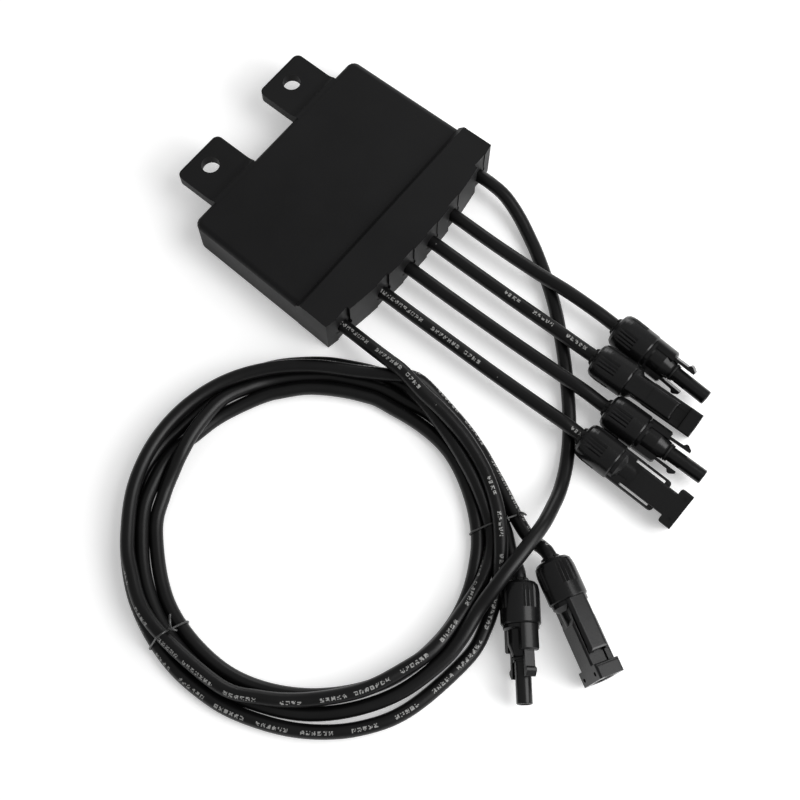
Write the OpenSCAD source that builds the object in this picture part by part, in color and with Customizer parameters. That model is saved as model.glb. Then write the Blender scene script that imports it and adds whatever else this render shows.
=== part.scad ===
// Rapid shutdown device for a pair of solar modules, lying on a bench.
// The moulded housing has two bolt ears behind and six cables in front:
// four short input leads and two long output leads tied up in one coil.
// Z is up, the ears point along +Y and the cables leave along -Y.

/* [Housing] */
// Width of the housing at its rear wall
rear_w = 128; // [110:1:150]
// Width of the housing at its front corners
front_w = 133; // [115:1:155]
// Depth from the rear wall to the middle of the curved front
body_d = 99; // [92:1:120]
// How far the curved front falls back at its corners
front_sag = 7; // [2:0.5:10]
// Height of the flat lid
lid_h = 22.5; // [20:0.5:26]
// Extra height of the raised front strip
strip_rise = 4; // [1:0.5:8]
// Depth of the raised strip at the middle, ramp included
strip_d = 27.8; // [22:0.2:36]
// Length of the ramp up to the strip
ramp_run = 3.3; // [1:0.1:8]
// Radius of the lid's top edges
edge_r = 3.5; // [1:0.1:4]
// Radius of the rear upright corners
corner_r = 5; // [4:0.5:10]
// Thickness of the side and front walls
wall = 2.6; // [2:0.1:4]
// Thickness of the lid
lid_t = 3; // [2:0.1:4]

/* [Ears] */
// Width of each bolt ear
ear_w = 31.5; // [24:0.5:40]
// Reach of each ear behind the rear wall
ear_len = 26; // [22:0.5:36]
// Thickness of each ear
ear_t = 6.2; // [4:0.1:10]
// Drop from the lid to the ears' top
ear_drop = 1.9; // [0.5:0.1:5]
// Distance between the two bolt holes
hole_pitch = 65; // [50:0.5:80]
// Diameter of the bolt holes
hole_d = 9.6; // [5:0.1:12]
// Distance of the bolt holes behind the rear wall
hole_y = 16.4; // [12:0.1:20]
// Corner radius of the ears
ear_r = 3.5; // [1:0.5:8]
// Length of the hollow ramp from ear to lid
ear_ramp = 5; // [2:0.5:7]

/* [Cable exits] */
// Distance between the four inner cables
exit_pitch = 19.2; // [14:0.1:22]
// Distance of the outermost cables in from the front corners
exit_inset = 10.7; // [9.6:0.1:16]
// Height of the cables where they leave the front
exit_z = 11.2; // [11.2:0.1:13]
// Diameter of the cables
cable_d = 7; // [5:0.1:8]
// Width of the flat pad round each exit
pad_w = 8.4; // [8:0.1:12]
// Depth of the pads in the curved front
pad_depth = 0.4; // [0.3:0.1:1.5]
// Outer diameter of the rubber bush in the wall
bush_d = 10.4; // [9.6:0.1:10.4]
// How far each cable reaches in behind its bush
cable_tail = 7; // [4:0.5:9]

/* [Circuit] */
// Height of the potting's face above the rim
potting_recess = 0.8; // [0.3:0.1:0.8]
// Thickness of the potting layer under the board
potting_t = 5.2; // [3:0.1:5.2]
// Thickness of the circuit board
board_t = 1.6; // [1:0.1:2.4]
// Gap between the ends of the circuit board and the side walls
board_gap = 4.65; // [3:0.05:8]
// Depth of the circuit board
board_d = 76; // [70:1:80]
// Diameter of the posts that locate the board
post_d = 7; // [5:0.5:9]
// Height of the transistor packages
switch_h = 4.5; // [3:0.1:6]
// Distance of the outer transistors in from the ends of the board
switch_inset = 17.5; // [16:0.5:22]

/* [Connectors] */
// Largest diameter of the cap nuts
nut_d = 19.2; // [18.4:0.1:20]
// Length of the cap nuts
nut_len = 20.6; // [18:0.1:24]
// Length of a connector with a nose
plug_len = 57; // [52:0.5:62]
// Diameter of the nose
nose_d = 7.6; // [7:0.1:8.4]
// Length of a connector with a mouth
socket_len = 60; // [56:0.5:66]
// Width over the head of a connector with a mouth
head_w = 19.6; // [18:0.1:21]
// Thickness of the flat connector body
head_t = 13; // [12:0.1:15]
// Diameter of the mating pin
pin_d = 4; // [3:0.1:4.4]

/* [Coil] */
// Inner radius of the coil of output leads
coil_inner_r = 73; // [60:1:85]
// Width of the coil's lower layer
coil_w = 19.5; // [14:0.5:30]
// Height of the coil
coil_h = 13.2; // [10:0.2:20]
// Thickness of the wire ties
tie_t = 0.9; // [0.6:0.1:1.2]
// Width of the wire ties
tie_w = 1.2; // [0.8:0.1:2]

/* [Hidden] */
$fn = 64;

cut = 1;
gap = 0.05;

// The origin is under the middle of the housing with its ears
rear_y = (body_d - ear_len) / 2;
strip_h = lid_h + strip_rise;
ear_top = lid_h - ear_drop;
ramp_y = strip_d - body_d;
taper = (front_w - rear_w) / 2 / (body_d - front_sag);
front_r = (pow(front_w / 2, 2) + pow(front_sag, 2)) / (2 * front_sag);

outer_exit_x = front_w / 2 - exit_inset;
exit_x = [-outer_exit_x, -1.5 * exit_pitch, -0.5 * exit_pitch,
          0.5 * exit_pitch, 1.5 * exit_pitch, outer_exit_x];
cable_r = cable_d / 2;

board_w = (rear_w + front_w) / 2 - 2 * (wall + board_gap);
board_z = potting_recess + potting_t;
board_top = board_z + board_t;
roof_z = lid_h - lid_t;
rear_gap = 2.4;
board_y = -wall - rear_gap;
board_front = board_y - board_d;
post_inset = 6;
post_x = [board_w / 2 - post_inset, (outer_exit_x + 1.5 * exit_pitch) / 2];
post_y = [board_y - post_inset, board_front + post_inset];
strip_lip = 0.15;
ramp_lip = 0.4;

// Rows of the circuit, measured back from the rear wall
row_step = 24;
switch_y = board_y - row_step;
low_row_y = switch_y - row_step;
cap_y = low_row_y + 10;
switch_pitch = (board_w - 2 * switch_inset) / 3;
switch_size = [10, 9];
switch_tab = [10, 2, 1.3];
switch_leg = [1, 3.6, 0.8];
switch_leg_x = 2.6;
spreader_t = 3;
spreader_d = 24;
spreader_w = 3 * switch_pitch + 14;
spreader_pad = [9, 8];
diode_x = 34;
diode_size = [8, 9, 3.6];
diode_leg = [3, 2.8, 0.9];
cap_size = [7.6, 20, 10];
cap_foot = [2, 1];
cap_gap = 0.6;
chip_x = 19;
chip_w = 7;
chip_t = 1.3;
chip_leg = [0.6, 1.6, 0.4];
chip_leg_pitch = 1.5;
flange_d = bush_d + 3;
flange_t = 1.5;
lug_r = 2.6;
lug_len = 8;
lug_t = 1.2;

// Connector places: [rear end x, rear end y, heading, roll, lift]
connector_z = head_w / 2;
plug_at = [[31.8, -165, -93, 35, 0], [-6.6, -187, -89.5, 20, 0], [-103.9, -205.7, -140, 66, 0]];
socket_at = [[10.8, -166.5, -88.5, 112, 1.8], [-26.6, -186.3, -91, 20, 0.4], [-86.4, -211.3, -119, 73, 1.6]];

coil_at = [-149, -112.5];
tie_angle = [158, -50];

// Half the width of the housing at y, measured back from its rear wall
function half_w(y) = rear_w / 2 - taper * y;
// Front face at x, and the flat of the pad there
function front_y(x) = front_r - body_d - sqrt(pow(front_r, 2) - pow(x, 2));
function pad_y(i) = front_y(abs(exit_x[i]) + pad_w / 2) + pad_depth;
// Inner face of the curved wall behind exit i, and the cable's end inside
function wall_y(i) = front_r - body_d
  - sqrt(pow(front_r - wall, 2) - pow(abs(exit_x[i]) + flange_d / 2, 2));
function lug_y(i) = wall_y(i) + flange_t + cable_tail;
// Point on a connector's axis, x along it from its rear end
function on_axis(c, x) = [c[0] + x * cos(c[2]), c[1] + x * sin(c[2]), connector_z + c[4]];

// Housing

// Outline of the housing, drawn in by one amount at its sides and another at its curved front
module plan(sides, front) {
  intersection() {
    polygon([[-half_w(0) + sides, -max(sides, 0)], [half_w(0) - sides, -max(sides, 0)],
             [half_w(-body_d) - sides, -body_d - cut], [sides - half_w(-body_d), -body_d - cut]]);
    translate([0, front_r - body_d])
      circle(r = front_r - front, $fn = 240);
  }
}

// Everything behind a plane that faces out at an angle and has a rounded top edge
module rounded_side(angle) {
  rotate([90, 0, angle])
    translate([0, 0, -2 * front_w])
      linear_extrude(4 * front_w) {
        translate([-2 * front_w, -cut])
          square([2 * front_w, lid_h - edge_r + cut]);
        translate([-2 * front_w, -cut])
          square([2 * front_w - edge_r, lid_h + cut]);
        translate([-edge_r, lid_h - edge_r])
          circle(r = edge_r);
      }
}

// Rounded side that touches a rear upright corner at an angle
module corner_side(x, angle) {
  translate([x, -corner_r, 0])
    rotate([0, 0, angle])
      translate([corner_r + gap, 0, 0])
        rounded_side(0);
}

// Lid with its side walls, all top edges rounded
module lid_block() {
  deep = ramp_y - ramp_run - cut;
  corner_x = half_w(-corner_r) - corner_r;
  tilt = atan(taper);
  intersection() {
    linear_extrude(lid_h) {
      polygon([[-half_w(-corner_r), -corner_r], [half_w(-corner_r), -corner_r],
               [half_w(deep), deep], [-half_w(deep), deep]]);
      translate([-corner_x, -corner_r - cut])
        square([2 * corner_x, corner_r + cut]);
      for (s = [-1, 1])
        translate([s * corner_x, -corner_r])
          circle(r = corner_r);
    }
    translate([0, gap, 0])
      rounded_side(90);
    translate([half_w(0) + gap, 0, 0])
      rounded_side(tilt);
    translate([-half_w(0) - gap, 0, 0])
      rounded_side(180 - tilt);
    corner_side(corner_x, 22.5);
    corner_side(corner_x, 45);
    corner_side(corner_x, 67.5);
    corner_side(-corner_x, 157.5);
    corner_side(-corner_x, 135);
    corner_side(-corner_x, 112.5);
  }
}

module strip_block() {
  intersection() {
    linear_extrude(strip_h)
      plan(-strip_lip, 0);
    rotate([90, 0, -90])
      translate([0, 0, -front_w])
        linear_extrude(2 * front_w)
          polygon([[-ramp_y, 0], [-ramp_y, lid_h - ramp_lip], [ramp_run - ramp_y, strip_h],
                   [body_d + cut, strip_h], [body_d + cut, 0]]);
  }
}

module ear() {
  difference() {
    union() {
      translate([-ear_w / 2, -wall, ear_top - ear_t])
        cube([ear_w, wall + ear_len - ear_r, ear_t]);
      translate([ear_r - ear_w / 2, 0, ear_top - ear_t])
        cube([ear_w - 2 * ear_r, ear_len, ear_t]);
      for (s = [-1, 1])
        translate([s * (ear_w / 2 - ear_r), ear_len - ear_r, ear_top - ear_t])
          cylinder(r = ear_r, h = ear_t);
      ear_ramp_block();
    }
    translate([0, hole_y, ear_top - ear_t - cut])
      cylinder(d = hole_d, h = ear_t + 2 * cut);
  }
}

// Hollow fillet from the ear's face up to the lid
module ear_ramp_block() {
  rise = ear_drop - ramp_lip / 2;
  r = (pow(ear_ramp, 2) + pow(rise, 2)) / (2 * rise);
  difference() {
    translate([-ear_w / 2, -edge_r, ear_top - 1])
      cube([ear_w, edge_r + ear_ramp, rise + 1]);
    translate([-ear_w / 2 - cut, ear_ramp, ear_top + r])
      rotate([0, 90, 0])
        cylinder(r = r, h = ear_w + 2 * cut, $fn = 180);
  }
}

module housing() {
  color([0.1, 0.1, 0.11])
    translate([0, rear_y, 0]) {
      difference() {
        union() {
          lid_block();
          strip_block();
          for (s = [-1, 1])
            translate([s * hole_pitch / 2, 0, 0])
              ear();
        }
        translate([0, 0, -cut])
          linear_extrude(roof_z + cut)
            plan(wall, wall);
        for (i = [0 : 5]) {
          translate([exit_x[i] - pad_w / 2, -body_d - cut, -cut])
            cube([pad_w, pad_y(i) + body_d + cut, strip_h + 2 * cut]);
          translate([exit_x[i], wall_y(i) + cut, exit_z])
            rotate([90, 0, 0])
              cylinder(d = bush_d, h = 3 * wall + cut);
        }
      }
      for (s = [-1, 1], i = [0, 1])
        translate([s * post_x[i], post_y[i], board_top])
          cylinder(d = post_d, h = roof_z - board_top + 0.5 * lid_t);
    }
}

module potting() {
  color([0.16, 0.16, 0.15])
    translate([0, rear_y, potting_recess])
      linear_extrude(potting_t)
        plan(wall, wall);
}

module cable_bushes() {
  color([0.06, 0.06, 0.06])
    for (i = [0 : 5])
      translate([exit_x[i], rear_y, exit_z])
        rotate([90, 0, 0])
          difference() {
            union() {
              translate([0, 0, -wall_y(i)])
                cylinder(d = bush_d - 2 * gap, h = wall_y(i) - pad_y(i) - 0.2);
              translate([0, 0, -wall_y(i) - flange_t])
                cylinder(d = flange_d, h = flange_t);
            }
            translate([0, 0, -wall_y(i) - flange_t - cut])
              cylinder(r = cable_r + gap, h = 4 * wall + 2 * cut);
            translate([-flange_d / 2, board_z - exit_z - flange_d, -wall_y(i) - flange_t - cut])
              cube([flange_d, flange_d, flange_t + wall + cut]);
          }
}

module cable_lugs() {
  color([0.72, 0.45, 0.28])
    for (i = [0 : 5])
      translate([exit_x[i], rear_y + lug_y(i), 0]) {
        translate([0, 0, exit_z])
          rotate([-90, 0, 0])
            cylinder(r = lug_r, h = lug_len);
        translate([-lug_r, lug_len - lug_t, board_top])
          cube([2 * lug_r, lug_t, exit_z - board_top]);
        translate([-lug_r, lug_len - lug_t, board_top])
          cube([2 * lug_r, lug_len, lug_t]);
      }
}

// Circuit

module circuit_board() {
  color([0.1, 0.35, 0.2])
    translate([-board_w / 2, rear_y + board_front, board_z])
      cube([board_w, board_d, board_t]);
}

// Block of a given size standing on its middle
module block(size) {
  translate([-size[0] / 2, -size[1] / 2, 0])
    cube(size);
}

module transistor(i) {
  color([0.14, 0.14, 0.15])
    translate([(i - 1.5) * switch_pitch, rear_y + switch_y, board_top]) {
      block([switch_size[0], switch_size[1], switch_h]);
      translate([0, (switch_size[1] + switch_tab[1]) / 2 - gap, 0])
        block(switch_tab);
      for (s = [-1, 1])
        translate([s * switch_leg_x, gap - (switch_size[1] + switch_leg[1]) / 2, 0])
          block(switch_leg);
    }
}

// Plate under the lid with a foot on each transistor
module heat_spreader() {
  foot = roof_z - spreader_t - board_top - switch_h;
  color([0.75, 0.76, 0.78])
    translate([0, rear_y + switch_y, roof_z - spreader_t]) {
      block([spreader_w, spreader_d, spreader_t]);
      for (i = [0 : 3])
        translate([(i - 1.5) * switch_pitch, 0, -foot])
          block([spreader_pad[0], spreader_pad[1], foot]);
    }
}

module bypass_diode(s) {
  color([0.15, 0.15, 0.16])
    translate([s * diode_x, rear_y + low_row_y, board_top]) {
      block(diode_size);
      for (e = [-1, 1])
        translate([0, e * (diode_size[1] + diode_leg[1] - 1) / 2, 0])
          block(diode_leg);
    }
}

module filter_capacitor(s) {
  color([0.75, 0.6, 0.2])
    translate([s * (spreader_w / 2 + cap_gap + cap_size[0] / 2), rear_y + cap_y, board_top]) {
      translate([0, 0, cap_foot[1] / 2])
        block(cap_size);
      for (e = [-1, 1])
        translate([0, e * (cap_size[1] / 2 - cap_foot[0]), 0])
          block([cap_size[0], cap_foot[0], cap_foot[1]]);
    }
}

core_r = [5, 9];
core_h = 6;
wind_t = 0.8;

module transformer_core() {
  color([0.22, 0.24, 0.22])
    translate([0, rear_y + low_row_y, board_top + wind_t])
      difference() {
        cylinder(r = core_r[1], h = core_h);
        translate([0, 0, -cut])
          cylinder(r = core_r[0], h = core_h + 2 * cut);
      }
}

module transformer_winding() {
  color([0.8, 0.45, 0.2])
    translate([0, rear_y + low_row_y, board_top])
      for (a = [25, 205])
        rotate([0, 0, a])
          rotate_extrude(angle = 130)
            difference() {
              translate([core_r[0] - wind_t, 0])
                square([core_r[1] - core_r[0] + 2 * wind_t, core_h + 2 * wind_t]);
              translate([core_r[0] - gap, wind_t])
                square([core_r[1] - core_r[0] + 2 * gap, core_h]);
            }
}

module controller_chip() {
  reach = (chip_w + chip_leg[1]) / 2 - 0.3;
  color([0.12, 0.12, 0.13])
    translate([chip_x, rear_y + low_row_y, board_top]) {
      translate([0, 0, chip_leg[2] / 4])
        block([chip_w, chip_w, chip_t]);
      for (a = [0 : 90 : 270], k = [-1.5 : 1 : 1.5])
        rotate([0, 0, a])
          translate([k * chip_leg_pitch, reach, 0])
            block(chip_leg);
    }
}

// Connectors, drawn along +X from the cable end

module place(c) {
  translate(on_axis(c, 0))
    rotate([c[3], 0, c[2]])
      children();
}

// Turns a profile of [radius, x] points about the X axis
module turned(points) {
  rotate([0, 90, 0])
    rotate_extrude($fn = 72)
      polygon(points);
}

seal_r = 4.9;
boss_r = 7.3;
boss_x = 4;
seal_pocket_r = 5.6;
crimp_x = 13;
crimp_r = 2.9;
seat_x = 27;
rib_r = 0.95;
rib_x = 1.8;
rib_len = 11.5;
rib_angle = 12;
shoulder_x = nut_len + 0.3;
barrel_x = nut_len + 9;
neck_x = barrel_x + 5;
groove_r = 3.2;
ring_r = 0.75;
wing_x = 33;
wing_size = [5, 9.2];
sleeve_r = 2.6;
pin_root_r = 3.4;
pin_root_x = 37;

// Cap nut with four groups of grip grooves
module cap_nut() {
  r = nut_d / 2;
  color([0.09, 0.09, 0.1])
    difference() {
      turned([[seal_r + gap, 0], [6.2, 0], [7.8, 0.6], [r - 0.7, 1.9], [r - 0.3, 3.6], [r - 0.05, 5.6],
              [r, 7], [r, nut_len - 0.7], [r - 0.5, nut_len], [boss_r + gap, nut_len],
              [boss_r + gap, boss_x - 0.3], [seal_r + gap, boss_x - 0.3]]);
      for (g = [0 : 90 : 270], k = [-1.5 : 1 : 1.5])
        rotate([g + k * rib_angle, 0, 0])
          translate([rib_x, 0, r + 0.3])
            rotate([0, 90, 0])
              cylinder(r = rib_r, h = rib_len, $fn = 6);
    }
}

// Rubber seal with its clamping fins behind the nut
module cable_seal() {
  color([0.07, 0.07, 0.07])
    difference() {
      union() {
        turned([[cable_r + gap, -1.6], [4.3, -1.6], [seal_r, -0.6], [seal_r, boss_x],
                [seal_pocket_r - gap, boss_x + gap], [seal_pocket_r - gap, crimp_x - 0.5],
                [cable_r + gap, crimp_x - 0.5]]);
      }
      for (a = [0 : 45 : 135])
        rotate([a, 0, 0])
          translate([-2, -0.4, -6])
            cube([1.6, 0.8, 12]);
    }
}

module plug_body() {
  nose_r = nose_d / 2;
  color([0.09, 0.09, 0.1])
    difference() {
      union() {
        turned([[0, boss_x], [boss_r, boss_x], [boss_r, shoulder_x], [8.6, shoulder_x],
                [8.6, nut_len + 1.8], [6.6, nut_len + 2.6], [6.6, barrel_x], [4.9, neck_x],
                [4.9, neck_x + 0.8], [groove_r, neck_x + 0.8], [groove_r, neck_x + 2.4], [4.5, neck_x + 2.4],
                [4.5, neck_x + 3.2], [nose_r, neck_x + 3.2], [nose_r, plug_len - 0.4],
                [nose_r - 0.4, plug_len], [0, plug_len]]);
        for (s = [0, 180])
          rotate([s, 0, 0]) {
            intersection() {
              turned([[0, shoulder_x], [nut_d / 2 - 0.3, shoulder_x], [nut_d / 2 - 0.3, wing_x - 0.8],
                      [nut_d / 2 - 1.1, wing_x], [0, wing_x]]);
              translate([shoulder_x, 5.2, -wing_size[1] / 2])
                cube([wing_x - nut_len, wing_size[0], wing_size[1]]);
            }
            translate([0, 0, -2.6])
              linear_extrude(5.2)
                polygon([[31, 5.3], [31, 6.8], [40.4, 7.1], [41.4, 8.4],
                         [42.6, 8.4], [45, 6.9], [45, 5.6], [40.5, 5.5]]);
          }
      }
      turned([[0, boss_x - cut], [seal_pocket_r, boss_x - cut], [seal_pocket_r, crimp_x],
              [crimp_r + gap, crimp_x], [crimp_r + gap, seat_x], [sleeve_r + 0.1, seat_x],
              [sleeve_r + 0.1, plug_len + cut], [0, plug_len + cut]]);
      for (s = [0, 180])
        rotate([s, 0, 0])
          translate([24, 4.2, -1.6])
            cube([7, 2.2, 3.2]);
    }
}

// Rubber ring at the root of the nose
module nose_ring() {
  color([0.05, 0.05, 0.05])
    rotate([0, 90, 0])
      rotate_extrude($fn = 48)
        translate([groove_r + gap + ring_r, neck_x + 1.6])
          circle(r = ring_r, $fn = 16);
}

// Tin-plated sleeve that the mating pin enters
module plug_contact() {
  color([0.8, 0.8, 0.78])
    turned([[0, crimp_x], [crimp_r, crimp_x], [crimp_r, seat_x - 0.2], [sleeve_r, seat_x - 0.2],
            [sleeve_r, plug_len - 1], [pin_d / 2 + 0.05, plug_len - 1], [pin_d / 2 + 0.05, 36], [0, 36]]);
}

rail_end = 47.8;
rail_h = 10.5;
rail_w = head_w - 1.8;
rail_joint = 32.6;
slot_w = 1.2;
head_x = 53;
bore_r = 4.25;
core_w = 12.8;
core_x = 32.5;
latch_x = 45.5;
latch_y = [5.35, 8.6];
latch_h = 6.2;
dimple_at = [57, 6];

module rounded_bar(w, t, r) {
  square([w - 2 * r, t], center = true);
  square([w, t - 2 * r], center = true);
  for (x = [-1, 1], y = [-1, 1])
    translate([x * (w / 2 - r), y * (t / 2 - r)])
      circle(r = r, $fn = 32);
}

module bar_along_x(x0, x1, w, t, r) {
  translate([x0, 0, 0])
    rotate([90, 0, 90])
      linear_extrude(x1 - x0)
        rounded_bar(w, t, r);
}

// Everything inside a plan from x0 to x1 whose two corners at x1 are rounded
module rounded_plan(x0, x1, w, r) {
  translate([0, 0, -head_t])
    linear_extrude(2 * head_t) {
      translate([min(x0, x1 - r), -w / 2])
        square([x1 - r - x0, w]);
      translate([x0, r - w / 2])
        square([x1 - x0, w - 2 * r]);
      for (s = [-1, 1])
        translate([x1 - r, s * (w / 2 - r)])
          circle(r = r, $fn = 32);
    }
}

// Two guard rails, slotted free of the core between their ends
module guard_rails() {
  difference() {
    intersection() {
      bar_along_x(shoulder_x, rail_end, rail_w, rail_h, 2);
      rounded_plan(nut_len, rail_end, rail_w, 2);
    }
    for (s = [-1, 1]) {
      translate([28, s * (core_w + slot_w) / 2 - slot_w / 2, -head_t])
        cube([rail_end - 31, slot_w, 2 * head_t]);
      translate([rail_joint, s * rail_w / 2 - 0.3, -head_t])
        cube([0.4, 0.6, 2 * head_t]);
    }
  }
}

// Core that rises out of the round neck to the flat head
module socket_core() {
  intersection() {
    bar_along_x(core_x - 6, socket_len, core_w, head_t, 1.2);
    rotate([90, 0, 0])
      translate([0, 0, -core_w])
        linear_extrude(2 * core_w)
          polygon([[core_x - 6, 4], [core_x, head_t / 2], [socket_len, head_t / 2],
                   [socket_len, -head_t / 2], [core_x, -head_t / 2], [core_x - 6, -4]]);
  }
}

module socket_head() {
  intersection() {
    bar_along_x(head_x, socket_len, head_w, head_t, 1.2);
    rotate([0, 0, 180])
      rounded_plan(-socket_len - cut, -head_x, head_w, 1.5);
  }
}

module socket_body() {
  color([0.09, 0.09, 0.1])
    difference() {
      union() {
        turned([[0, boss_x], [boss_r, boss_x], [boss_r, shoulder_x], [8.8, shoulder_x],
                [8.8, nut_len + 2.2], [6.5, nut_len + 4.5], [6.3, core_x + 2], [0, core_x + 2]]);
        socket_core();
        socket_head();
        guard_rails();
      }
      turned([[0, boss_x - cut], [seal_pocket_r, boss_x - cut], [seal_pocket_r, crimp_x],
              [crimp_r + gap, crimp_x], [crimp_r + gap, seat_x], [pin_root_r, seat_x], [pin_root_r, pin_root_x],
              [bore_r, pin_root_x], [bore_r, socket_len - 0.8], [bore_r + 0.8, socket_len + 0.01],
              [bore_r + 0.8, socket_len + cut], [0, socket_len + cut]]);
      for (s = [-1, 1]) {
        translate([latch_x, s * (latch_y[0] + latch_y[1]) / 2 - (latch_y[1] - latch_y[0]) / 2, -latch_h / 2])
          cube([socket_len, latch_y[1] - latch_y[0], latch_h]);
        for (t = [-1, 1])
          translate([dimple_at[0], s * dimple_at[1], t * head_t / 2 - 0.5])
            cylinder(d = 2, h = 1, $fn = 32);
      }
    }
}

// Tin-plated pin inside the mouth
module socket_contact() {
  r = pin_d / 2;
  color([0.8, 0.8, 0.78])
    turned([[0, crimp_x], [crimp_r, crimp_x], [crimp_r, seat_x + gap], [pin_root_r - 0.1, seat_x + gap],
            [pin_root_r - 0.1, pin_root_x - 0.2], [r, pin_root_x - 0.2], [r, 51], [r - 0.8, 52.6], [0, 53]]);
}

// Cables

// Hand-picked route of each cable, from inside the housing outwards
function start(i) = [[exit_x[i], rear_y + lug_y(i), exit_z], [exit_x[i], rear_y + pad_y(i), exit_z]];
function finish(c) = [on_axis(c, -1.6), on_axis(c, crimp_x)];

input_route = [
  concat(start(1), [[-28.6, -90, 11], [-28, -130, 10.6], [-27.2, -160, 10.8], [-26.7, -176, 11]],
         finish(socket_at[1])),
  concat(start(2), [[-9.4, -90, 11], [-8.6, -125, 10.8], [-7.6, -155, 11], [-6.9, -172, 11]],
         finish(plug_at[1])),
  concat(start(3), [[9.8, -90, 11], [10.2, -118, 10.8], [10.6, -140, 11], [10.7, -154, 10.8]],
         finish(socket_at[0])),
  concat(start(4), [[29, -90, 11], [30, -115, 10.9], [31.4, -134, 11], [31.9, -152, 10.6]],
         finish(plug_at[0]))];
left_route = concat(start(0), [[-55.8, -64, 11.2], [-56.2, -78, 11], [-57, -92, 11], [-58.2, -106, 11.6],
  [-59.5, -118, 12.4], [-61.5, -130, 12.6], [-66, -144, 12.4]]);
right_route = concat(start(5), [[56, -63, 11.2], [55.6, -74, 10], [52.4, -86, 7], [47, -98, 4.4],
  [40, -110, 3.6], [26, -129.5, 3.5], [9, -148, 3.5], [-8, -164, 3.5], [-24.5, -177.5, 3.5],
  [-40, -187.3, 3.8], [-54, -193.4, 6.5], [-66, -196.4, 11.5], [-76, -198.2, 15.6], [-87, -198.8, 18.2],
  [-97, -199, 19], [-107, -198.9, 18.8], [-117, -199, 16.9], [-128, -198.6, 13.8]]);
plug_tail_route = concat([[-77.5, -165, 3.6], [-81.6, -174, 3.6], [-85.2, -182, 3.6], [-90, -188.4, 4],
  [-95.6, -195.4, 6.5]], finish(plug_at[2]));
socket_tail_route = concat([[-64.5, -148, 3.6], [-67.3, -158.5, 3.6], [-71, -167.8, 3.6], [-75.2, -177, 3.8],
  [-79.6, -187, 5], [-83.2, -196.5, 7.6]], finish(socket_at[2]));

function unit(v) = v / norm(v);
function heading(p, i) = unit(p[min(i + 1, len(p) - 1)] - p[max(i - 1, 0)]);
function ring(p, i, r, n) =
  let (t = heading(p, i), s = unit(cross(t, [0, 0, 1])), u = cross(s, t))
  [for (k = [0 : n - 1]) p[i] + r * cos(360 * k / n) * s + r * sin(360 * k / n) * u];

module cable(p) {
  n = 12;
  m = len(p);
  color([0.08, 0.08, 0.08])
    polyhedron(
      points = [for (i = [0 : m - 1]) each ring(p, i, cable_r, n)],
      faces = concat([[for (k = [n - 1 : -1 : 0]) k]],
        [for (i = [0 : m - 2], k = [0 : n - 1])
          [i * n + k, i * n + (k + 1) % n, (i + 1) * n + (k + 1) % n, (i + 1) * n + k]],
        [[for (k = [0 : n - 1]) (m - 1) * n + k]]));
}

// The two output leads wound together: three turns below, two above
function coil_outline(t) = let (a = coil_inner_r - t, b = coil_inner_r + coil_w + t, q = cable_d)
  [[a, 0], [a, q - 1.4], [a + 1.4, q], [a + 3.6, q + 1], [a + 3.6, coil_h - 1.4 + t], [a + 5, coil_h + t],
   [b - 5, coil_h + t], [b - 3.6, coil_h - 1.4 + t], [b - 3.6, q + 1], [b - 1.4, q], [b, q - 1.4], [b, 0]];

module cable_coil() {
  color([0.08, 0.08, 0.08])
    translate([coil_at[0], coil_at[1], 0])
      difference() {
        rotate_extrude($fn = 120)
          polygon(coil_outline(0));
        for (a = tie_angle)
          rotate([0, 0, a])
            translate([0, -tie_w / 2 - gap, -cut])
              cube([2 * coil_inner_r, tie_w + 2 * gap, cut + tie_t]);
      }
}

knot_d = 2.4;
knot_h = 1.4;
knot_end = 5;
knot_angle = 35;

// Wire loop round the wound leads, closed by a twist with two loose ends
module coil_tie(a, knot) {
  color([0.12, 0.12, 0.12])
    translate([coil_at[0], coil_at[1], 0])
      rotate([0, 0, a]) {
        rotate([90, 0, 0])
          translate([0, 0, -tie_w / 2])
            linear_extrude(tie_w)
              difference() {
                polygon(coil_outline(tie_t + 0.1));
                difference() {
                  polygon(coil_outline(0.1));
                  square([2 * coil_inner_r, tie_t]);
                }
              }
        translate([coil_inner_r + knot, 0, coil_h]) {
          cylinder(d = knot_d, h = tie_t + knot_h);
          for (s = [-1, 1])
            translate([0, 0, tie_t + knot_h - tie_w / 2])
              rotate([0, 78, 90 + s * knot_angle])
                cylinder(d = tie_w * 0.8, h = knot_end, $fn = 16);
        }
      }
}

housing();
potting();
circuit_board();
heat_spreader();
transistor(0);  // switch_1
transistor(1);  // switch_2
transistor(2);  // switch_3
transistor(3);  // switch_4
bypass_diode(-1);  // bypass_diode_1
bypass_diode(1);  // bypass_diode_2
filter_capacitor(-1);  // filter_capacitor_1
filter_capacitor(1);  // filter_capacitor_2
transformer_core();
transformer_winding();
controller_chip();
cable_bushes();
cable_lugs();
cable(input_route[0]);  // input_lead_1
cable(input_route[1]);  // input_lead_2
cable(input_route[2]);  // input_lead_3
cable(input_route[3]);  // input_lead_4
cable(left_route);  // output_lead_left
cable(right_route);  // output_lead_right
cable(plug_tail_route);  // output_tail_plug
cable(socket_tail_route);  // output_tail_socket
cable_coil();
coil_tie(tie_angle[0], coil_w / 2 - 4);  // coil_tie_left
coil_tie(tie_angle[1], coil_w / 2 + 4);  // coil_tie_right
place(plug_at[0]) cap_nut();  // plug_nut_1
place(plug_at[0]) cable_seal();  // plug_seal_1
place(plug_at[0]) plug_body();  // plug_body_1
place(plug_at[0]) plug_contact();  // plug_contact_1
place(plug_at[0]) nose_ring();  // plug_ring_1
place(plug_at[1]) cap_nut();  // plug_nut_2
place(plug_at[1]) cable_seal();  // plug_seal_2
place(plug_at[1]) plug_body();  // plug_body_2
place(plug_at[1]) plug_contact();  // plug_contact_2
place(plug_at[1]) nose_ring();  // plug_ring_2
place(plug_at[2]) cap_nut();  // plug_nut_3
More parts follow.
